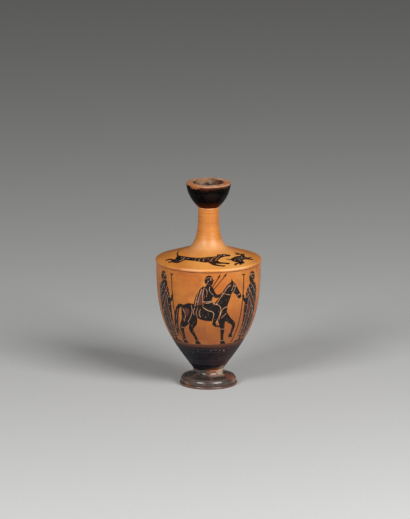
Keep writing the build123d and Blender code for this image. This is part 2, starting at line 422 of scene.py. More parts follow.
def outline_object(node):
    """A node's smooth outline as a curve in the XZ plane, for the trees to read."""
    points = smooth_outline(seam_points(node))
    curve = bpy.data.curves.new(f"{node}_outline", "CURVE")
    curve.dimensions = "3D"
    spline = curve.splines.new("POLY")
    spline.points.add(len(points) - 1)
    for spot, point in zip(spline.points, points):
        spot.co = (point.x, 0.0, point.y, 1.0)
    holder = bpy.data.objects.new(f"{node}_outline", curve)
    bpy.context.scene.collection.objects.link(holder)
    return holder


THROWN = ("foot", "body", "shoulder", "neck", "mouth")
outlines = {node: outline_object(node) for node in THROWN}


def reached(node, height):
    """The length along a node's outline, and the radius, where it first rises past a height."""
    points = [Vector((p.co.x, p.co.z)) for p in outlines[node].data.splines[0].points]
    length = 0.0
    for a, b in zip(points, points[1:]):
        if a.y <= height <= b.y and b.x > CLEAR_OF_AXIS:
            share = (height - a.y) / max(b.y - a.y, TINY)
            return length + (b - a).length * share, a.x + (b.x - a.x) * share
        length += (b - a).length
    raise ValueError(f"{node} doesn't reach {height}")


def wall_spot(node, degrees, height):
    """The millimetres of a spot on a node's outer side, from its bearing and its height."""
    radius = reached(node, height * MM)[1] / MM
    bearing = math.radians(degrees)
    return (radius * math.sin(bearing), -radius * math.cos(bearing), height)


# Brushwork. A drawing is in millimetres, x to the right and y up from its ground line.


def flowing(points, closed=False):
    """Fills brush points in along a smooth curve. A point given twice stays a corner."""
    points = [np.array(p, float) for p in points]
    count = len(points)
    filled = []
    for i in range(count if closed else count - 1):
        a, b = points[i], points[(i + 1) % count]
        before = points[i - 1] if closed or i else a
        after = points[(i + 2) % count] if closed or i + 2 < count else b
        run = np.hypot(*(b - a)[:2])
        if run == 0:
            continue
        into = (b - before) * run / max(np.hypot(*(b - before)[:2]), TINY)
        out_of = (after - a) * run / max(np.hypot(*(after - a)[:2]), TINY)
        steps = max(2, math.ceil(run / BRUSH_STEP))
        for n in range(steps):
            t = n / steps
            ends = a + (b - a) * (3 * t**2 - 2 * t**3)
            filled.append(ends + into * (t**3 - 2 * t**2 + t) + out_of * (t**3 - t**2))
    return filled if closed else filled + [points[-1]]


def outline(*points):
    """A closed shape round some points."""
    return [tuple(p) for p in flowing(points, closed=True)]


def stroke(*points):
    """The shape of one brush stroke through (x, y, width) points, with round ends."""
    line = np.array(flowing(points))
    middle, half = line[:, :2], np.maximum(line[:, 2:], THINNEST) / 2
    way = np.gradient(middle, axis=0)
    way /= np.maximum(np.hypot(*way.T), TINY)[:, None]
    across = np.stack((-way[:, 1], way[:, 0]), 1)
    left, right = middle + across * half, middle - across * half
    turns = np.arange(1, ROUND_END_STEPS)[:, None] * math.pi / ROUND_END_STEPS
    end, start = (
        middle[i] + side * half[i] * (across[i] * np.cos(turns) + way[i] * np.sin(turns))
        for i, side in ((-1, 1), (0, -1))
    )
    return [tuple(p) for p in [*left, *end, *right[::-1], *start]]


def line(*points, width=0.32):
    """An even thin line through some points, as a point scratches it."""
    return stroke(*[(x, y, width) for x, y in points])


def ring(x, y, radius, width=0.26):
    """A small scratched ring."""
    turns = [math.tau * n / CIRCLE_STEPS for n in range(CIRCLE_STEPS + 1)]
    return line(*[(x + radius * math.cos(t), y + radius * math.sin(t)) for t in turns], width=width)


def moved(shapes, x=0.0, y=0.0, scale=1.0):
    """Some shapes set elsewhere in a drawing, larger or smaller."""
    return [[(x + scale * px, y + scale * py) for px, py in shape] for shape in shapes]


def redrawn(drawing, change):
    """A drawing of (black, cuts, red, dots) with each of its points changed."""
    *groups, dots = drawing
    shapes = [[[change(*p) for p in shape] for shape in group] for group in groups]
    return *shapes, [change(*p) for p in dots]


def facing_left(drawing):
    """A drawing turned to face the other way."""
    return redrawn(drawing, lambda x, y: (-x, y))


def sized(drawing, scale, stretch=1.0):
    """A drawing made larger or smaller, its scratched lines too, and drawn out sideways."""
    return redrawn(drawing, lambda x, y: (scale * (x * stretch), scale * y))


def covered(loops, spots):
    """Which spots some closed loops cover, by how often each loop winds round a spot."""
    found = np.zeros(len(spots), bool)
    for loop in loops:
        a = np.array(loop)
        b = np.roll(a, -1, 0)
        near = np.all((spots >= a.min(0)) & (spots <= a.max(0)), 1).nonzero()[0]
        if not len(near):
            continue
        x, y = spots[near, 0:1], spots[near, 1:2]
        side = (b[:, 0] - a[:, 0]) * (y - a[:, 1]) - (x - a[:, 0]) * (b[:, 1] - a[:, 1])
        rising = (a[:, 1] <= y) & (b[:, 1] > y) & (side > 0)
        falling = (a[:, 1] > y) & (b[:, 1] <= y) & (side < 0)
        found[near] |= rising.sum(1) != falling.sum(1)
    return found


def filled(shapes, cuts, within):
    """The points and faces that fill some shapes, less their cuts and what within leaves out."""
    corners, edges = [], []
    for loop in [*shapes, *cuts, *(within or [])]:
        first = len(corners)
        corners.extend(loop)
        edges.extend((first + i, first + (i + 1) % len(loop)) for i in range(len(loop)))
    drawn = np.concatenate([np.array(s) for s in shapes])
    low, high = drawn.min(0), drawn.max(0)
    across, upward = (np.arange(low[i], high[i], FILM_STEP) for i in range(2))
    spots = np.stack(np.meshgrid(across, upward), -1).reshape(-1, 2)
    spots = spots[covered(shapes, spots) & ~covered(cuts, spots)]
    rim = np.array(corners)
    clear = [np.hypot(*(rim - s).T).min() > FILM_RIM_SHARE * FILM_STEP for s in spots]
    spots = spots[np.array(clear, bool)] if len(spots) else spots
    flat = [Vector(p) for p in [*corners, *spots]]
    points, _, faces, *_ = delaunay_2d_cdt(flat, edges, [], 0, SAME_CORNER, False)
    middles = np.array([sum((points[i] for i in face), Vector((0, 0))) / 3 for face in faces])
    inside = covered(shapes, middles) & ~covered(cuts, middles)
    if within:
        inside &= covered(within, middles)
    return points, [face for face, keep in zip(faces, inside) if keep]


class Film:
    """A mesh of thin slabs of paint. Its points know their bearing and the film's edge."""

    def __init__(self):
        self.mesh = bmesh.new()
        self.bearing_of = self.mesh.verts.layers.float.new("bearing")
        self.edge_of = self.mesh.verts.layers.float.new("edge")
        self.bake = self.mesh.loops.layers.uv.new("OFBake")

    def point(self, place, bearing, on_edge):
        vert = self.mesh.verts.new(place)
        vert[self.bearing_of] = bearing
        vert[self.edge_of] = 1.0 if on_edge else 0.0
        return vert

    def done(self, name):
        made = bpy.data.meshes.new(name)
        self.mesh.to_mesh(made)
        self.mesh.free()
        return made


def film_mesh(name, drawings, top, within=None):
    """One mesh of the thin slabs that (shapes, cuts, bearing) drawings fill, at true size.

    Where within gives the shapes of some other film, the slabs keep inside them.
    """
    film = Film()
    everything = np.concatenate([np.array(s) for shapes, _, _ in drawings for s in shapes])
    low, span = everything.min(0), np.ptp(everything, 0)
    strip = 1 / len(drawings)
    for number, (shapes, cuts, bearing) in enumerate(drawings):
        points, faces = filled(shapes, cuts, within[number] if within else None)
        directed = {(f[i], f[i - 2]) for f in faces for i in range(3)}
        border = [(i, j) for i, j in directed if (j, i) not in directed]
        on_border = {i for pair in border for i in pair}
        used = sorted({i for face in faces for i in face})
        upper, lower = (
            {
                i: film.point((points[i].x * MM, points[i].y * MM, height), bearing, i in on_border)
                for i in used
            }
            for height in (top, FILM_FOOT)
        )
        slabs = [([upper[i] for i in face], TOP_STRIP) for face in faces]
        slabs += [([lower[i] for i in face[::-1]], HIDDEN_STRIP) for face in faces]
        slabs += [((upper[j], upper[i], lower[i], lower[j]), HIDDEN_STRIP) for i, j in border]
        for corners, (start, width) in slabs:
            for loop in film.mesh.faces.new(corners).loops:
                u = (loop.vert.co.x / MM - low[0]) / span[0]
                v = (loop.vert.co.y / MM - low[1]) / span[1]
                loop[film.bake].uv = (start + width * u, strip * (number + STRIP_FILL * v))
    return film.done(name)


def ring_film_mesh(name, low, high, top, waver):
    """A film that runs right round a wall between two lengths along its outline."""
    chance = random.Random(RING_SEED)
    waves = [
        (n, chance.uniform(*RING_WAVE_SIZES) / n**0.5, chance.uniform(0, math.tau))
        for n in RING_WAVES
    ]
    film = Film()
    rows = max(2, math.ceil((high - low) / RING_ROW))
    columns = []
    for step in range(RING_STEPS):
        turn = math.tau * step / RING_STEPS
        edge = high + waver * sum(size * math.sin(n * turn + start) for n, size, start in waves)
        columns.append([
            film.point((0.0, low + (edge - low) * row / rows, height), turn, row == rows)
            for height, order in ((top, range(rows + 1)), (FILM_FOOT, range(rows, -1, -1)))
            for row in order
        ])
    around = len(columns[0])
    for step in range(RING_STEPS):
        here, there = columns[step], columns[(step + 1) % RING_STEPS]
        for row in range(around):
            after = (row + 1) % around
            face = film.mesh.faces.new((here[row], there[row], there[after], here[after]))
            for loop, (u, v) in zip(face.loops, ((0, 0), (1, 0), (1, 1), (0, 1))):
                loop[film.bake].uv = ((step + u) / RING_STEPS, (row + v) / around)
    return film.done(name)


# The picture: a horseman between draped onlookers, and a hound coursing a hare on the shoulder


def head(bearded):
    """A head in profile facing right, from its neck, with its scratched lines."""
    black = [
        outline(
            (-1.9, -0.8), (-2.2, 1.6), (-3.5, 3.2), (-3.4, 6.4), (-1.6, 8.6), (0.9, 8.9),
            (2.7, 7.5), (3.1, 6.0), (4.0, 4.7), (4.0, 4.7), (3.2, 4.2), (3.5, 3.5), (3.0, 2.9),
            (3.1, 2.0), (2.1, 1.2), (1.5, 0.4), (1.6, -0.8),
        )
    ]
    cuts = [
        ring(1.5, 5.6, 0.5),
        line((0.7, 6.6), (1.7, 6.9), (2.6, 6.6), width=0.24),
        line((-0.9, 5.4), (-0.3, 4.4), (-1.0, 3.9), (-1.3, 4.6), width=0.24),
        line((-3.4, 6.0), (-0.5, 7.1), (2.7, 7.3), width=0.26),
        line((-3.0, 1.7), (-1.9, 2.3), (-0.9, 3.2), width=0.26),
    ]
    if bearded:
        beard = outline((0.2, 3.2), (3.2, 3.0), (4.3, 1.2), (4.2, -1.0), (2.4, -0.4), (0.8, 0.9))
        black.append(beard)
        cuts.append(line((-0.6, 3.4), (0.8, 2.5), (2.2, 3.1), (3.1, 3.0), width=0.26))
    return black, cuts


def onlooker(bearded):
    """A standing onlooker in a mantle, facing right, with a staff."""
    head_black, head_cuts = head(bearded)
    black = moved(head_black, x=0.1, y=46.4)
    cuts = moved(head_cuts, x=0.1, y=46.4)
    black += [
        outline(
            (1.6, 46.8), (4.2, 45.4), (6.1, 42.0), (7.0, 36.0), (7.3, 29.0), (6.6, 21.0),
            (5.9, 12.0), (5.8, 5.4), (5.8, 5.4), (0.4, 4.3), (-4.9, 5.2), (-4.9, 5.2), (-5.9, 14.0),
            (-6.9, 24.0), (-7.4, 34.0), (-6.8, 41.5), (-4.8, 45.4), (-1.9, 47.0),
        ),
        stroke((2.2, 7.5, 3.0), (2.3, 2.4, 2.1), (2.5, 1.4, 2.2)),
        stroke((1.4, 1.1, 2.1), (4.0, 1.0, 1.9), (7.0, 0.6, 1.0)),
        stroke((-2.4, 7.5, 3.0), (-2.5, 2.4, 2.1), (-2.3, 1.4, 2.2)),
        stroke((-3.4, 1.1, 2.1), (-0.8, 1.0, 1.9), (1.6, 0.6, 1.0)),
        stroke((4.0, 37.5, 3.6), (7.0, 34.8, 2.7), (8.8, 36.8, 2.0), (9.5, 38.4, 2.2)),
        stroke((9.9, 0.6, 0.75), (9.8, 28.0, 0.8), (9.5, 54.4, 0.8)),
        stroke((8.4, 54.5, 0.9), (10.8, 54.5, 0.9)),
    ]
    cuts += [
        line((5.9, 41.8), (1.0, 34.0), (-5.0, 23.5), (-6.8, 21.0)),
        line((4.4, 44.8), (-0.5, 37.5), (-7.1, 28.5)),
        line((1.4, 46.6), (-2.6, 42.0), (-7.2, 36.0)),
        line((4.9, 5.8), (4.4, 16.0), (4.0, 26.0), (3.4, 36.5)),
        line((1.6, 5.0), (1.0, 15.0), (0.2, 24.0), (-0.8, 30.8)),
        line((-2.2, 5.2), (-2.8, 13.0), (-3.6, 25.2)),
        line((-4.9, 7.0), (0.4, 6.0), (5.8, 7.2)),
        line((4.4, 38.8), (6.8, 36.4), (8.2, 37.6), width=0.26),
    ]
    red = [
        outline(
            (3.6, 45.4), (5.3, 43.0), (2.0, 37.9), (-2.0, 33.0), (-7.1, 26.4), (-7.0, 28.0),
            (-0.8, 36.6),
        ),
        outline((2.2, 5.2), (3.9, 5.5), (3.2, 25.0), (2.6, 34.5), (0.4, 31.6), (1.8, 16.0)),
    ]
    dots = [
        (-5.2, 40.6), (-3.0, 44.6), (0.6, 43.4), (-2.3, 39.9), (2.9, 41.0), (-5.4, 34.4),
        (-2.6, 36.0), (-5.6, 23.0), (-3.0, 28.6), (5.3, 37.0), (5.6, 31.0), (5.2, 24.0),
        (4.9, 17.0), (5.1, 10.0), (-0.9, 26.0), (-4.9, 17.5), (-1.7, 20.0), (-4.3, 11.0),
        (-1.0, 13.6), (0.2, 8.6), (-3.4, 7.9),
    ]
    return black, cuts, red, dots


def horseman():
    """A rider with two spears on a walking horse, facing right."""
    rider_black, rider_cuts = head(bearded=False)
    black = moved(rider_black, x=2.6, y=43.0, scale=0.84)
    cuts = moved(rider_cuts, x=2.6, y=43.0, scale=0.84)
    black += [
        # barrel, chest and rump
        outline(
            (-16.4, 28.2), (-12.8, 31.0), (-7.0, 30.6), (0.0, 29.7), (6.0, 30.6), (10.5, 31.6),
            (14.2, 29.4), (15.0, 25.2), (12.6, 20.8), (6.0, 19.0), (-2.0, 19.6), (-8.0, 21.6),
            (-13.0, 19.6), (-17.0, 22.6),
        ),
        # neck, head and ears
        outline(
            (5.6, 29.8), (9.6, 35.4), (13.0, 40.6), (16.8, 44.6), (19.6, 45.4), (21.0, 44.0),
            (19.6, 39.6), (17.6, 34.4), (15.6, 29.6), (14.8, 25.6), (9.0, 25.0),
        ),
        outline(
            (17.4, 44.6), (19.6, 45.6), (21.4, 44.2), (23.6, 40.8), (25.6, 37.4), (26.6, 35.6),
            (26.4, 34.0), (24.6, 33.4), (23.4, 34.6), (21.6, 36.8), (19.4, 38.4), (17.6, 40.4),
        ),
        outline((18.4, 44.4), (18.6, 47.6), (18.6, 47.6), (20.0, 45.0)),
        # forelegs, one lifted
        stroke(
            (11.2, 23.0, 7.0), (11.4, 17.0, 4.2), (11.6, 12.2, 3.0), (11.2, 6.0, 1.9),
            (11.3, 2.8, 2.2),
        ),
        outline((10.2, 2.8), (12.5, 2.8), (13.8, 0.1), (13.8, 0.1), (10.0, 0.1), (10.0, 0.1)),
        stroke(
            (12.6, 23.0, 6.6), (16.6, 19.0, 4.0), (20.0, 15.6, 3.1), (19.2, 11.0, 2.0),
            (17.8, 7.8, 1.9),
        ),
        outline((16.8, 8.2), (18.9, 7.5), (18.8, 5.0), (18.8, 5.0), (15.7, 5.6), (15.7, 5.6)),
        # hind legs
        stroke(
            (-12.6, 25.5, 10.5), (-14.0, 19.4, 7.4), (-17.4, 13.2, 3.8), (-16.6, 7.4, 2.1),
            (-15.6, 2.8, 2.3),
        ),
        outline((-16.7, 2.8), (-14.4, 2.8), (-13.0, 0.1), (-13.0, 0.1), (-17.0, 0.1), (-17.0, 0.1)),
        stroke(
            (-10.6, 24.0, 8.0), (-8.6, 18.0, 5.6), (-10.4, 12.6, 3.3), (-7.8, 7.0, 2.0),
            (-6.2, 2.8, 2.2),
        ),
        outline((-7.3, 2.8), (-5.0, 2.8), (-3.6, 0.1), (-3.6, 0.1), (-7.6, 0.1), (-7.6, 0.1)),
        # tail
        stroke(
            (-15.8, 28.6, 2.4), (-19.6, 28.4, 2.6), (-21.8, 23.0, 3.4), (-22.4, 14.0, 3.4),
            (-21.4, 6.0, 0.6),
        ),
        # rider: trunk, cloak, leg and arm
        outline(
            (-1.8, 29.4), (-2.2, 34.0), (-2.0, 39.0), (-0.4, 42.8), (2.4, 44.0), (5.2, 42.6),
            (6.0, 39.4), (4.8, 35.0), (4.4, 30.4), (3.4, 28.6),
        ),
        outline(
            (-0.6, 42.8), (-4.4, 40.4), (-7.4, 34.2), (-8.6, 28.6), (-8.6, 28.6), (-4.8, 30.4),
            (-1.0, 29.4),
        ),
        stroke(
            (1.0, 30.4, 6.6), (4.8, 29.2, 5.8), (8.4, 27.0, 4.4), (7.6, 22.4, 3.8),
            (5.8, 17.0, 2.2),
        ),
        stroke((5.6, 17.0, 2.2), (6.8, 15.6, 1.9), (9.2, 14.9, 1.2)),
        stroke((3.6, 41.0, 3.6), (6.8, 36.8, 2.8), (9.6, 36.6, 2.1), (12.4, 38.0, 1.9)),
        # spears
        stroke((-11.0, 22.0, 0.6), (12.6, 48.6, 0.6), (13.7, 49.9, 1.2), (15.0, 51.4, 0.3)),
        stroke((-9.2, 21.2, 0.6), (8.6, 48.1, 0.6), (9.5, 49.5, 1.2), (10.5, 51.1, 0.3)),
    ]
    cuts += [
        # the rider's leg, seat and belt over the horse
        line((-2.0, 29.0), (1.4, 26.8), (5.4, 25.2), (5.6, 22.4), (4.7, 19.2), (4.5, 16.8)),
        line((5.2, 31.6), (9.4, 30.0), (10.8, 27.2), (9.7, 22.8), (7.2, 17.8)),
        line((-2.0, 33.4), (1.0, 32.6), (4.6, 33.4)),
        line((-1.9, 32.5), (1.0, 31.7), (4.5, 32.5)),
        line((-0.8, 42.4), (-1.8, 37.4), (-1.7, 29.8)),
        line((3.0, 42.8), (2.8, 40.4), (5.4, 37.4), width=0.28),
        line((0.4, 41.6), (1.2, 39.4), (0.8, 36.0), width=0.26),
        # folds of the cloak
        line((-2.6, 41.2), (-4.6, 35.0), (-5.6, 30.4)),
        line((-4.6, 39.8), (-6.4, 34.0), (-7.4, 29.4)),
        # bridle, mane and jaw
        line((12.2, 38.2), (17.4, 36.8), (22.6, 36.4), width=0.26),
        line((20.6, 44.6), (19.8, 41.6), (18.6, 39.6), width=0.28),
        line((22.2, 42.6), (21.0, 40.0), (20.0, 38.4), width=0.26),
        line((25.8, 36.6), (24.2, 36.0), (23.0, 35.4), width=0.26),
        ring(21.5, 42.3, 0.42),
        line((7.4, 30.6), (11.2, 36.2), (14.8, 40.8), (17.6, 43.4)),
        # shoulder, ribs, haunch and knees
        line((15.2, 28.6), (12.4, 27.6), (10.6, 24.4), (9.4, 20.0)),
        line((14.6, 24.4), (13.0, 22.6), (11.0, 21.0)),
        line((-3.6, 27.2), (-4.4, 24.4), (-3.6, 21.8), width=0.28),
        line((-5.6, 27.8), (-6.5, 24.8), (-5.7, 22.2), width=0.28),
        line((-7.6, 28.2), (-8.5, 25.6), (-7.9, 23.0), width=0.28),
        line((-10.0, 30.0), (-9.4, 26.0), (-10.4, 22.0), (-12.6, 17.4)),
        line((-16.4, 26.8), (-14.6, 22.6), (-15.6, 17.8)),
        line((-18.4, 13.8), (-17.0, 12.6), (-15.8, 13.0), width=0.26),
        line((10.0, 13.0), (11.6, 12.4), (13.2, 13.0), width=0.26),
        line((-16.4, 3.2), (-14.6, 3.2), width=0.26),
        line((-7.0, 3.2), (-5.2, 3.2), width=0.26),
        line((10.4, 3.2), (12.2, 3.2), width=0.26),
        line((-20.6, 26.2), (-22.2, 20.0), (-22.3, 11.0), width=0.26),
    ]
    red = [
        outline(
            (6.4, 29.8), (9.8, 35.2), (13.2, 40.2), (16.9, 44.0), (17.6, 43.8), (14.6, 41.0),
            (10.9, 36.4),
        ),
        outline(
            (-1.2, 41.6), (-2.8, 40.4), (-5.2, 34.8), (-6.2, 30.0), (-4.9, 30.2), (-2.3, 31.0),
            (-2.2, 36.0),
        ),
        outline((-15.4, 26.6), (-13.0, 27.4), (-11.4, 25.8), (-12.6, 22.4), (-14.2, 21.6)),
    ]
    dots = [
        (-1.0, 33.0), (0.1, 32.7), (1.3, 32.6), (2.5, 32.7), (3.7, 33.0), (-3.7, 37.6),
        (-6.2, 32.6),
    ]
    return black, cuts, red, dots


def hound():
    """A hound at full stretch, running right."""
    black = [
        stroke(
            (-12.2, 7.4, 5.4), (-6.5, 8.8, 3.9), (-0.5, 9.2, 4.2), (5.6, 9.4, 6.8),
            (9.6, 10.4, 5.8),
        ),
        stroke((8.8, 10.8, 5.0), (12.8, 13.0, 3.4)),
        stroke((12.6, 13.4, 3.5), (15.2, 13.0, 2.7), (18.6, 11.9, 1.3)),
        outline((12.4, 14.0), (10.0, 15.4), (9.4, 14.6), (11.4, 12.8)),
        stroke((-13.6, 8.6, 1.6), (-17.2, 10.4, 1.2), (-20.4, 12.6, 0.9), (-20.6, 14.8, 0.5)),
        stroke((8.4, 8.8, 4.4), (12.8, 5.4, 2.3), (16.6, 4.4, 1.4), (19.4, 3.4, 1.6)),
        stroke((7.6, 8.0, 3.8), (11.2, 3.6, 2.0), (14.8, 1.8, 1.3), (17.4, 1.1, 1.5)),
        stroke((-11.4, 7.0, 5.2), (-14.2, 3.8, 2.6), (-18.2, 3.6, 1.5), (-21.0, 1.4, 1.5)),
        stroke((-10.2, 6.4, 5.0), (-11.4, 3.0, 2.4), (-15.0, 2.0, 1.4), (-17.2, 0.7, 1.5)),
    ]
    cuts = [
        ring(14.3, 13.6, 0.38),
        line((12.6, 13.9), (11.4, 13.0), (10.6, 13.6), width=0.24),
        line((15.0, 12.2), (17.8, 11.6), width=0.22),
        line((9.6, 13.0), (8.0, 10.6), (8.0, 7.4)),
        line((11.4, 12.2), (10.4, 9.6), (10.8, 8.0)),
        line((-8.8, 9.8), (-8.6, 7.0), (-10.6, 4.6)),
        line((4.2, 7.6), (3.2, 9.4), (3.8, 11.4), width=0.26),
        line((1.9, 7.2), (0.9, 9.0), (1.5, 11.0), width=0.26),
        line((-0.4, 7.0), (-1.4, 8.6), (-0.8, 10.6), width=0.26),
    ]
    red = [stroke((8.9, 11.2, 0.9), (9.6, 12.6, 0.9), (10.0, 13.4, 0.7))]
    dots = [(-10.4, 8.4), (-8.0, 9.0), (-5.6, 9.2), (-3.2, 9.4), (5.6, 10.8), (6.8, 9.0)]
    return black, cuts, red, dots


def hare():
    """A hare running right, its ears laid back."""
    black = [
        stroke((-7.0, 6.4, 6.6), (-2.0, 7.6, 6.4), (3.6, 7.2, 4.8)),
        stroke((3.4, 7.8, 3.6), (6.4, 9.4, 2.8)),
        stroke((6.2, 9.6, 3.0), (8.0, 9.4, 2.4), (9.4, 8.9, 1.4)),
        stroke((6.2, 10.4, 1.2), (3.6, 12.2, 1.7), (0.8, 12.8, 0.6)),
        stroke((6.4, 10.8, 1.0), (4.6, 13.4, 1.5), (2.6, 14.8, 0.5)),
        stroke((-9.6, 8.0, 1.8), (-11.2, 9.8, 1.2)),
        stroke((3.2, 6.2, 3.2), (6.6, 4.2, 1.7), (9.6, 3.4, 1.3)),
        stroke((2.4, 5.6, 3.0), (5.2, 2.6, 1.6), (8.0, 1.4, 1.2)),
        stroke((-6.6, 5.4, 5.0), (-7.4, 2.6, 2.4), (-11.0, 2.4, 1.5), (-13.6, 0.8, 1.3)),
        stroke((-5.4, 5.0, 4.4), (-4.6, 2.2, 2.2), (-7.6, 1.4, 1.4), (-9.6, 0.5, 1.2)),
    ]
    cuts = [
        ring(7.6, 9.8, 0.34),
        line((3.0, 9.4), (2.2, 7.4), (2.8, 5.4), width=0.26),
        line((-4.0, 9.4), (-3.4, 6.6), (-5.0, 4.0)),
        line((-0.6, 6.0), (-1.2, 7.6), (-0.6, 9.2), width=0.24),
    ]
    return black, cuts, [], [(-6.4, 7.6), (-8.0, 6.4), (0.6, 7.2)]


# Materials


def tone(red, green, blue):
    """A shader colour from the 0 to 255 values of a swatch."""
    parts = [c / 255 for c in (red, green, blue)]
    return tuple(c / 12.92 if c < 0.04045 else ((c + 0.055) / 1.055) ** 2.4 for c in parts) + (1.0,)


class Finish(Nodes):
    """A procedural surface finish, in object coordinates."""

    FULL_SHARE = 0.35  # of the reach of a spot
    TEAR = (420.0, 5.0, 1.6)  # scale, detail and reach of a ragged edge
    RELIEF = 0.6

    def __init__(self, name):
        self.material = bpy.data.materials.new(name)
        self.material.use_nodes = True
        super().__init__(self.material.node_tree)
        self.surface = self.tree.nodes["Principled BSDF"]
        self.place = self.add("ShaderNodeTexCoord").outputs["Object"]
        self.x, self.y, self.height = self.xyz(self.place)
        squares = self.math("ADD", self.math("POWER", self.x, 2.0), self.math("POWER", self.y, 2.0))
        self.radius = self.math("SQRT", squares)

    def noise(self, scale, detail=2.0, vector=None):
        inputs = {"Vector": vector or self.place, "Scale": scale, "Detail": detail}
        return self.add("ShaderNodeTexNoise", inputs).outputs[0]

    def uneven(self, scale, detail, reach):
        """Noise that goes as far up as down, within a reach."""
        return self.times(self.math("SUBTRACT", self.noise(scale, detail), 0.5), reach)

    def wheel_lines(self, closeness, drift=9.0):
        """Fine lines that run round the vessel."""
        slow = self.times(self.math("ADD", self.x, self.y), drift)
        across = self.times(self.radius, closeness)
        upward = self.times(self.height, closeness)
        return self.noise(1.0, 3.0, self.vector(across, upward, slow))

    def rise(self, value, low, high):
        """0 before one value, 1 past another, and smooth between."""
        inputs = {"Value": value, "From Min": low, "From Max": high}
        return self.add("ShaderNodeMapRange", inputs, interpolation_type="SMOOTHSTEP").outputs[0]

    def above(self, low, high):
        """The rise from one height to another, in millimetres."""
        return self.rise(self.height, low * MM, high * MM)

    def cloud(self, scale, detail, low, high):
        """Noise drawn apart into bare and covered places."""
        return self.rise(self.noise(scale, detail), low, high)

    def near(self, spot, reach):
        """1 at a spot on the surface, falling to 0 at a distance from it."""
        middle = tuple(c * MM for c in spot)
        away = self.vector_math("DISTANCE", self.place, middle, output="Value")
        return self.rise(away, reach * MM, self.FULL_SHARE * reach * MM)

    def patch(self, spot, wide, tall, soft=0.9):
        """1 on a patch with a ragged, soft edge round a spot, and 0 away from it."""
        offset = self.vector_math("SUBTRACT", self.place, tuple(c * MM for c in spot))
        scale = (1 / (wide * MM), 1 / (wide * MM), 1 / (tall * MM))
        share = self.vector_math("MULTIPLY", offset, scale)
        away = self.vector_math("LENGTH", share, output="Value")
        torn = self.math("ADD", away, self.uneven(*self.TEAR))
        return self.rise(torn, 1.0 + soft / 2, 1.0 - soft / 2)

    def blend(self, share, base, over):
        node = self.add("ShaderNodeMix", {0: share, 6: base, 7: over}, data_type="RGBA")
        return node.outputs[2]

    def layered(self, colour, *layers):
        """A colour with others laid over it in turn, each (mask, share of the mask, colour)."""
        for mask, share, over in layers:
            colour = self.blend(self.times(mask, share), colour, over)
        return colour

    def done(self, colour, roughness, relief=None, depth=0.05 * MM, gloss=0.5):
        self.feed(self.surface.inputs["Base Color"], colour)
        self.feed(self.surface.inputs["Roughness"], roughness)
        self.feed(self.surface.inputs["Specular IOR Level"], gloss)
        if relief is not None:
            inputs = {"Height": relief, "Distance": depth, "Strength": self.RELIEF}
            self.feed(self.surface.inputs["Normal"], self.add("ShaderNodeBump", inputs).outputs[0])
        return self.material


# Blemishes in the clay and bare specks in the black zone: bearing, height and reach
CLAY_BLEMISHES = ((26.8, 99.7, 0.9), (26.7, 98.6, 0.7), (73.4, 91.6, 1.1), (-70, 101.0, 0.8))
ZONE_SPECKS = (
    (4, 36.4, 0.55), (28, 35.6, 0.8), (-19, 35.4, 0.35), (13, 36.8, 0.4), (20, 36.0, 0.45),
    (9, 37.6, 0.3), (36, 37.4, 0.35), (25, 27.0, 0.35), (-31, 33.0, 0.3), (17, 31.0, 0.3),
)


def burnished_clay():
    """The vessel's clay: clouded orange with fine wheel lines, darker towards the bottom as painted
    shade, and paler on the shoulder slope, the neck's foot and the lip as painted light.
    """
    clay = Finish("burnished_clay")
    lines = clay.wheel_lines(900.0)
    mottle = clay.cloud(140.0, 5.0, 0.44, 0.66)
    stain = clay.cloud(70.0, 4.0, 0.52, 0.72)
    pale = clay.cloud(44.0, 5.0, 0.54, 0.70)
    specks = clay.cloud(900.0, 1.0, 0.69, 0.75)
    # Painted shade: the clay is laid darker towards the bottom of the body.
    painted_shade_low_down = clay.above(104, 50)
    colour = clay.layered(
        clay.blend(clay.cloud(26.0, 3.0, 0.34, 0.68), tone(190, 102, 30), tone(212, 130, 48)),
        (mottle, 0.30, tone(178, 96, 40)),
        (clay.rise(lines, 0.50, 0.72), 0.35, tone(156, 82, 34)),
        (stain, 0.40, tone(146, 82, 38)),
        (pale, 0.40, tone(228, 158, 84)),
        (painted_shade_low_down, 0.55, tone(142, 76, 36)),
        (specks, 0.6, tone(104, 58, 30)),
    )
    for degrees, height, reach in CLAY_BLEMISHES:
        blemish = clay.near(wall_spot("body", degrees, height), reach)
        colour = clay.blend(blemish, colour, tone(70, 40, 22))
    neck = clay.above(121, 130)
    # Painted light: the shoulder slope is laid paler, most on its front right, where the key light
    # falls.
    painted_light_slope = clay.times(clay.above(110.6, 111.6), clay.above(124, 118))
    slope_painted_light_share = clay.raised(0.13, clay.near((12.0, -32.0, 113.0), 44.0), 0.38)
    # Painted highlight: a paler band round the foot of the neck.
    neck_foot_painted_highlight = clay.times(clay.above(118, 124), clay.above(132, 126))
    grooves = clay.times(clay.rise(clay.wheel_lines(1300.0), 0.48, 0.64), clay.above(130, 150))
    lip = clay.times(clay.rise(clay.radius, 45.2 * MM, 45.8 * MM), clay.above(110.2, 110.8))
    # Painted highlights: the lip is laid paler, most at two places on its front left and front
    # right, where the lights catch it.
    lip_left_highlight = clay.patch((-14.0, -43.8, 110.8), 10.0, 3.0)
    lip_right_highlight = clay.patch((24.0, -39.2, 110.8), 13.0, 3.0)
    lip_painted_highlights = clay.math("ADD", lip_left_highlight, lip_right_highlight, clamp=True)
    colour = clay.layered(
        colour,
        (neck, 0.20, tone(226, 154, 78)),
        (painted_light_slope, slope_painted_light_share, tone(250, 182, 96)),
        (neck_foot_painted_highlight, 0.38, tone(236, 184, 128)),
        (grooves, 0.5, tone(146, 74, 28)),
        (lip, clay.raised(0.05, lip_painted_highlights, 0.35), tone(240, 190, 140)),
    )
    rough = clay.raised(clay.raised(0.34, lines, 0.18), lip, 0.18)
    return clay.done(colour, rough, lines, 0.07 * MM)


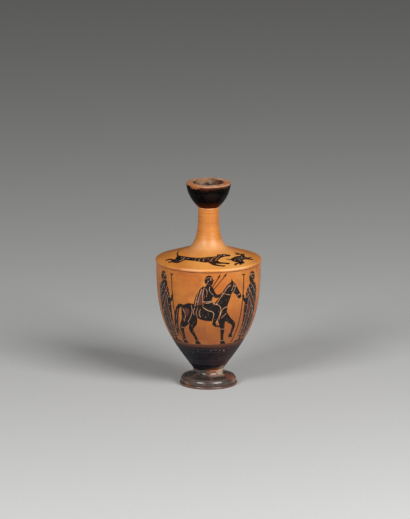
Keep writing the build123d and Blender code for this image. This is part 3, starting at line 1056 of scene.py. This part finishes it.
def figure_black():
    """The figures' black: thin and brown in places and at its edges, with small chips."""
    black = Finish("figure_black")
    thin = black.cloud(110.0, 3.0, 0.52, 0.74)
    rim = black.add("ShaderNodeAttribute", attribute_name="edge").outputs["Fac"]
    worn = black.math("ADD", black.times(thin, 0.55), black.times(rim, 0.22), clamp=True)
    colour = black.layered(
        black.blend(worn, tone(15, 11, 11), tone(66, 38, 26)),
        (black.cloud(620.0, 2.0, 0.63, 0.69), 0.75, tone(150, 92, 54)),
    )
    return black.done(colour, black.raised(0.36, thin, 0.2), thin, 0.02 * MM, 0.3)


def zone_black():
    """The lower zone's black: streaked by the wheel, browner on the right, with bare specks."""
    black = Finish("zone_black")
    top = BLACK_ZONE[1] * MM
    lines = black.wheel_lines(620.0)
    thin = black.cloud(60.0, 5.0, 0.52, 0.70)
    right = black.times(black.rise(black.x, 0.0, 14.0 * MM), black.rise(lines, 0.30, 0.60))
    level = black.raised(black.height, black.noise(150.0), 1.6 * MM)
    colour = black.layered(
        black.blend(black.rise(lines, 0.44, 0.68), tone(17, 17, 26), tone(50, 43, 48)),
        (thin, 0.5, tone(66, 46, 40)),
        (right, 0.65, tone(72, 44, 39)),
        (black.rise(level, top - 1.6 * MM, top + 0.9 * MM), 0.8, tone(96, 50, 32)),
    )
    for degrees, height, reach in ZONE_SPECKS:
        speck = black.near(wall_spot("body", degrees, height), reach)
        colour = black.blend(speck, colour, tone(190, 174, 160))
    colour = black.layered(
        colour,
        (black.patch(wall_spot("body", 52, 16.4), 4.4, 2.8), 0.85, tone(160, 132, 110)),
        (black.patch(wall_spot("body", 18, 15.4), 6.5, 1.1), 0.75, tone(128, 70, 38)),
        (black.patch(wall_spot("body", 60, 22.0), 4.0, 5.0), 0.50, tone(92, 58, 44)),
    )
    return black.done(colour, black.raised(0.34, lines, 0.22), lines, 0.06 * MM, 0.17)


def clay_wash():
    """The thin brown wash over the top of the lower zone."""
    wash = Finish("clay_wash")
    streaks = wash.rise(wash.wheel_lines(420.0), 0.34, 0.66)
    colour = wash.blend(streaks, tone(102, 53, 30), tone(72, 37, 25))
    return wash.done(colour, wash.raised(0.42, streaks, 0.12))


def edge_line_and_shadow_finish():
    """A worn dark line under the shoulder's lip: partly a painted line, partly painted shadow under
    the lip.
    """
    stripe = Finish("worn_edge_line")
    worn = stripe.cloud(120.0, 4.0, 0.42, 0.60)
    colour = stripe.blend(worn, tone(116, 64, 32), tone(176, 100, 46))
    return stripe.done(colour, stripe.raised(0.45, worn, 0.1))


def mouth_finish():
    """The mouth: worn black outside, bare clay on its rim, and dust in its cup, darker deeper down
    as painted shade.
    """
    mouth = Finish("mouth_black_gloss")
    low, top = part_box("mouth")[0].z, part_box("mouth")[1].z
    ragged = mouth.uneven(170.0, 4.0, 6.0 * MM)
    level = mouth.math("ADD", mouth.height, ragged)
    pitted = mouth.cloud(420.0, 3.0, 0.52, 0.68)
    lines = mouth.rise(mouth.wheel_lines(700.0), 0.50, 0.66)
    outside = mouth.layered(
        tone(3, 3, 4),
        (pitted, 0.4, tone(40, 29, 25)),
        (lines, 0.3, tone(34, 26, 23)),
        (mouth.rise(level, low + 7.0 * MM, low + 1.0 * MM), 0.8, tone(80, 32, 14)),
        (mouth.patch((-3.0, -18.8, 178.2), 6.0, 1.9), 0.65, tone(96, 44, 26)),
        (mouth.patch((7.5, -17.6, 178.4), 8.0, 1.4), 0.55, tone(88, 48, 30)),
        (mouth.patch((15.0, -12.0, 178.6), 5.0, 1.5), 0.60, tone(104, 64, 40)),
        (mouth.patch((3.0, -16.6, 170.6), 6.0, 3.4), 0.60, tone(36, 26, 23)),
        (mouth.patch((13.0, -10.0, 168.6), 3.0, 2.6), 0.40, tone(38, 30, 34)),
    )
    dust = mouth.blend(mouth.cloud(300.0, 5.0, 0.38, 0.60), tone(132, 111, 95), tone(66, 53, 46))
    # Painted shade: the cup's dust is laid darker deeper down.
    deep_painted_shade = mouth.rise(level, top - 3.5 * MM, top - 6.5 * MM)
    inside = mouth.layered(
        mouth.blend(deep_painted_shade, dust, tone(48, 37, 31)),
        # a brown patch of painted shade on the cup's back right
        (mouth.patch((9.6, 8.6, 178.2), 5.0, 3.4), 0.8, tone(92, 50, 24)),
        (mouth.patch((-4.0, 12.6, 178.6), 8.0, 1.8), 0.8, tone(154, 112, 80)),
    )
    outer_edge = mouth.rise(mouth.raised(mouth.radius, ragged, 0.5), 17.4 * MM, 19.2 * MM)
    rim = mouth.layered(
        mouth.blend(mouth.cloud(150.0, 4.0, 0.38, 0.62), tone(206, 160, 127), tone(172, 119, 84)),
        (mouth.patch((15.4, -4.0, 180.0), 6.0, 4.0), 0.6, tone(188, 104, 50)),
        (mouth.patch((-14.6, -8.0, 180.0), 5.0, 4.0), 0.6, tone(186, 104, 52)),
        (outer_edge, 0.6, tone(170, 120, 88)),
    )
    inner = mouth.rise(mouth.raised(mouth.radius, ragged, 0.22), 14.2 * MM, 13.2 * MM)
    in_cup = mouth.rise(mouth.height, low + 8.0 * MM, low + 11.0 * MM)
    bare = mouth.rise(mouth.raised(mouth.height, ragged, 0.3), top - 1.5 * MM, top - 0.8 * MM)
    colour = mouth.layered(
        outside,
        (inner, in_cup, inside),
        (bare, mouth.math("SUBTRACT", 1.0, inner), rim),
        (mouth.patch((-12.0, -15.0, 178.7), 4.6, 1.6, 0.7), 0.85, tone(178, 104, 58)),
    )
    return mouth.done(colour, mouth.raised(0.36, pitted, 0.2), pitted, gloss=0.03)


def foot_finish():
    """The foot: grey gloss in rings, rubbed brown, with bare clay and a pale crust in places."""
    foot = Finish("foot_worn_gloss")
    lines = foot.wheel_lines(620.0)
    rubbed = foot.cloud(170.0, 5.0, 0.48, 0.70)
    level = foot.math("ADD", foot.height, foot.uneven(190.0, 4.0, 4.0 * MM))
    colour = foot.layered(
        foot.blend(foot.rise(lines, 0.36, 0.64), tone(35, 30, 28), tone(86, 73, 66)),
        (rubbed, 0.45, tone(112, 88, 76)),
        (foot.rise(level, 4.4 * MM, 1.8 * MM), 0.7, tone(104, 77, 67)),
        (foot.patch((20.0, -8.0, 8.0), 6.5, 4.0), 0.70, tone(128, 68, 48)),
        (foot.patch((23.0, -8.0, 4.6), 5.0, 2.6), 0.55, tone(150, 106, 76)),
        (foot.patch((5.0, -13.6, 12.4), 6.0, 1.8), 0.60, tone(140, 84, 54)),
        (foot.patch((11.5, -9.4, 12.2), 4.4, 2.6), 0.80, tone(188, 160, 138)),
        (foot.patch((7.0, -17.0, 10.4), 9.0, 1.0), 0.50, tone(150, 124, 108)),
        (foot.patch((-16.0, -15.0, 7.6), 6.0, 3.4), 0.30, tone(98, 76, 65)),
        (foot.patch((-18.5, -15.5, 3.0), 4.0, 1.8), 0.65, tone(150, 100, 58)),
    )
    under = foot.above(0.6, 0.1)
    colour = foot.blend(under, colour, tone(190, 114, 60))
    return foot.done(colour, foot.raised(0.24, rubbed, 0.16), lines, 0.08 * MM, 0.75)


def handle_finish():
    """The handle's black gloss, worn brown in places."""
    handle = Finish("handle_black_gloss")
    worn = handle.cloud(160.0, 4.0, 0.52, 0.70)
    colour = handle.layered(tone(24, 18, 17), (worn, 0.6, tone(84, 52, 38)))
    return handle.done(colour, handle.raised(0.32, worn, 0.2), worn, 0.03 * MM)


def slip_finish(name, first, second, least_rough=0.5, gloss=0.5):
    """Matt slip, clouded from one colour to another."""
    slip = Finish(name)
    cloud = slip.cloud(260.0, 4.0, 0.36, 0.64)
    colour = slip.blend(cloud, first, second)
    return slip.done(colour, slip.raised(least_rough, cloud, 0.15), gloss=gloss)


def foot_slip():
    """The slip in the foot's seam: dark, with a clay-coloured crust on its front right."""
    slip = Finish("foot_slip")
    cloud = slip.cloud(260.0, 4.0, 0.36, 0.64)
    dark = slip.blend(cloud, tone(60, 48, 43), tone(96, 74, 62))
    far_right = slip.rise(slip.x, 6.0 * MM, 10.0 * MM)
    crust = slip.blend(far_right, tone(166, 96, 54), tone(206, 174, 146))
    right = slip.rise(slip.raised(slip.x, cloud, 3.0 * MM), 0.0, 5.0 * MM)
    front = slip.rise(slip.y, 4.0 * MM, -2.0 * MM)
    colour = slip.layered(dark, (right, front, crust))
    return slip.done(colour, slip.raised(0.5, cloud, 0.15), cloud, 0.1 * MM)


CLAY = burnished_clay()
FIGURE_BLACK = figure_black()
ADDED_RED = slip_finish("added_red", tone(98, 44, 34), tone(72, 36, 30))
ADDED_WHITE = slip_finish("added_white", tone(214, 196, 170), tone(170, 146, 116))
SCRATCHED = slip_finish("scratched_clay", tone(222, 178, 140), tone(190, 118, 66))
SHOULDER_SLIP = slip_finish("shoulder_slip", tone(150, 84, 40), tone(104, 56, 30))
NECK_SLIP = slip_finish("neck_slip", tone(206, 122, 58), tone(190, 106, 48))
# Pale slip on the ridge at the neck's top, laid paler still as a painted highlight.
MOUTH_SLIP_HIGHLIGHTED = slip_finish("mouth_slip", tone(238, 168, 104), tone(216, 134, 72))
HANDLE_SLIP = slip_finish("handle_slip", tone(92, 52, 34), tone(46, 32, 28))


# Pieces


def kept(piece, slot, *nodes):
    """Ties a finished piece to the frame."""
    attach(piece, "root")
    if nodes:
        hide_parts(*nodes)


WALL_FINISH = {
    "foot": (foot_finish(), "black_gloss"),
    "body": (CLAY, "clay"),
    "shoulder": (CLAY, "clay"),
    "neck": (CLAY, "clay"),
    "mouth": (mouth_finish(), "black_gloss"),
}
for node, (finish, slot) in WALL_FINISH.items():
    wall = made_by(
        THROWN_WALL, f"{node}_wall", outline=outlines[node], steps_around=WALL_STEPS_AROUND,
        wobble=WALL_WOBBLE, material=finish,
    )
    kept(wall, slot, node)

CARRIED_FINISH = {
    "foot_luting": (foot_slip(), "luting_slip"),
    "shoulder_luting": (SHOULDER_SLIP, "luting_slip"),
    "neck_luting": (NECK_SLIP, "luting_slip"),
    "mouth_luting": (MOUTH_SLIP_HIGHLIGHTED, "luting_slip"),
    "handle": (handle_finish(), "black_gloss"),
    "handle_neck_luting": (HANDLE_SLIP, "luting_slip"),
    "handle_shoulder_luting": (HANDLE_SLIP, "luting_slip"),
}
for node, (finish, slot) in CARRIED_FINISH.items():
    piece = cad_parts[node]
    piece.data.materials.clear()
    piece.data.materials.append(finish)


def on_wall(name, node, mesh, ground, finish, slot, tree=PAINTED_FILM, **more):
    """Lays a painted piece on a node's wall, from a length along its outline up."""
    piece = made_by(
        tree, name, mesh, outline=outlines[node], ground=ground, wobble=WALL_WOBBLE,
        material=finish, **more,
    )
    kept(piece, slot)


def length_up(node, height):
    """The length along a node's outline up to a height in millimetres."""
    return reached(node, height * MM)[0]


# Films right round the body: name, heights, top, waver, finish and slot
RING_FILMS = (
    ("lower_black_zone", BLACK_ZONE, BLACK_FILM_TOP, 0.18 * MM, zone_black(), "black_gloss"),
    ("ground_wash_band", WASH_BAND, THIN_FILM_TOP, 0.25 * MM, clay_wash(), "clay"),
    # the dark line under the lip is partly painted shadow
    ("shoulder_edge_line", EDGE_LINE_AND_SHADOW, THIN_FILM_TOP, 0.06 * MM, edge_line_and_shadow_finish(), "black_gloss"),
)
for name, heights, top, waver, finish, slot in RING_FILMS:
    low, high = (length_up("body", height) for height in heights)
    on_wall(name, "body", ring_film_mesh(name, low, high, top, waver), 0.0, finish, slot)

ONLOOKER_SIZE = 1.19
FRIEZE = (
    ("horseman", sized(horseman(), 1.32, 0.95), -3.5),
    ("onlooker_left", sized(onlooker(bearded=True), ONLOOKER_SIZE), -59),
    ("onlooker_right", facing_left(sized(onlooker(bearded=False), ONLOOKER_SIZE)), 56.5),
    ("onlooker_far_left", sized(onlooker(bearded=False), ONLOOKER_SIZE), -103),
    ("onlooker_far_right", facing_left(sized(onlooker(bearded=True), ONLOOKER_SIZE)), 102),
)
CHASE = (
    ("hound", sized(hound(), 1.4, 1.12), -19),
    ("hare", sized(hare(), 1.25), 58),
)


def paint(drawings, node, height, places):
    """Paints figures on a wall: a black film each, and one of red, of scratches and of dots."""
    ground = length_up(node, height)
    reds, dots, scratched, blacks = [], [], [], []
    for name, (black, cuts, red, white), degrees in drawings:
        bearing = math.radians(degrees)
        mesh = film_mesh(name, [(black, cuts, bearing)], BLACK_FILM_TOP)
        on_wall(name, node, mesh, ground, FIGURE_BLACK, "black_gloss")
        scratched.append((cuts, [], bearing))
        blacks.append(black)
        if red:
            reds.append((red, cuts, bearing))
        dots += [(x, y, bearing) for x, y in white]
    red_film = film_mesh(f"{places}_red", reds, RED_FILM_TOP)
    on_wall(f"{places}_red", node, red_film, ground, ADDED_RED, "luting_slip")
    lines = film_mesh(f"{places}_scratched_lines", scratched, LINE_FILM_TOP, blacks)
    on_wall(f"{places}_scratched_lines", node, lines, ground, SCRATCHED, "clay")
    spots = bpy.data.meshes.new(f"{places}_dots")
    spots.from_pydata([(x * MM, y * MM, FILM_FOOT) for x, y, _ in dots], [], [])
    bearings = spots.attributes.new("bearing", "FLOAT", "POINT")
    bearings.data.foreach_set("value", [bearing for _, _, bearing in dots])
    on_wall(
        f"{places}_white_dots", node, spots, ground, ADDED_WHITE, "luting_slip", PAINT_DOTS,
        dot_radius=DOT_RADIUS, dot_height=WHITE_FILM_TOP - FILM_FOOT,
    )


paint(FRIEZE, "body", FRIEZE_GROUND, "frieze")
paint(CHASE, "shoulder", CHASE_GROUND, "shoulder")

for holder in outlines.values():
    bpy.data.objects.remove(holder)

# Floor, light and camera

FLOOR_REACH = 4.0
AIM = Vector((0, 0, 90 * MM))
KEY_LIGHT = dict(azimuth=42, elevation=32, distance=1.7, size=0.85, power=26)
FILL_LIGHT = dict(azimuth=-37, elevation=30, distance=1.7, size=0.6, power=14.5)
WORLD_COLOUR = (1.0, 0.98, 0.95, 1.0)
WORLD_STRENGTH = 0.07
CAMERA_ELEVATION = 13.0
CAMERA_DISTANCE = 4.5
CAMERA_LENS = 357.9
CAMERA_SENSOR = 36
CAMERA_RAISED = 20.4 * MM
CAMERA_LEFT = 3.05 * MM

floor_mesh = bpy.data.meshes.new("floor")
square = ((-1, -1), (1, -1), (1, 1), (-1, 1))
floor_corners = [(FLOOR_REACH * x, FLOOR_REACH * y, 0) for x, y in square]
floor_mesh.from_pydata(floor_corners, [], [(0, 1, 2, 3)])
floor = bpy.data.objects.new("floor", floor_mesh)
bpy.context.scene.collection.objects.link(floor)
PALE_FLOOR = slip_finish("pale_floor", tone(206, 206, 204), tone(204, 204, 203), 0.85, 0.0)
floor_mesh.materials.append(PALE_FLOOR)


def seen_from(azimuth, elevation):
    """The way from the vessel to a light or camera, in degrees round from the front and up."""
    a, e = math.radians(azimuth), math.radians(elevation)
    return Vector((math.sin(a) * math.cos(e), -math.cos(a) * math.cos(e), math.sin(e)))


def set_up(name, data, place, back):
    """A light or camera at a place, facing against the way back from the vessel."""
    holder = bpy.data.objects.new(name, data)
    holder.location = place
    holder.rotation_mode = "QUATERNION"
    holder.rotation_quaternion = (-back).to_track_quat("-Z", "Y")
    bpy.context.scene.collection.objects.link(holder)
    return holder


def soft_light(name, azimuth, elevation, distance, size, power):
    """A square light that faces the vessel."""
    light = bpy.data.lights.new(name, "AREA")
    light.size = size
    light.energy = power
    back = seen_from(azimuth, elevation)
    set_up(name, light, AIM + back * distance, back)


soft_light("key_light", **KEY_LIGHT)
soft_light("fill_light", **FILL_LIGHT)
world = bpy.data.worlds.new("soft_world")
world.use_nodes = True
sky = world.node_tree.nodes["Background"].inputs
sky["Color"].default_value = WORLD_COLOUR
sky["Strength"].default_value = WORLD_STRENGTH
bpy.context.scene.world = world
bpy.context.scene.view_settings.view_transform = "Standard"

lens = bpy.data.cameras.new("camera")
lens.lens = CAMERA_LENS
lens.sensor_width = CAMERA_SENSOR
back = seen_from(0, CAMERA_ELEVATION)
right = Vector((1, 0, 0))
aim = AIM + back.cross(right) * CAMERA_RAISED - right * CAMERA_LEFT
camera = set_up("camera", lens, aim + back * CAMERA_DISTANCE, back)
bpy.context.scene.camera = camera
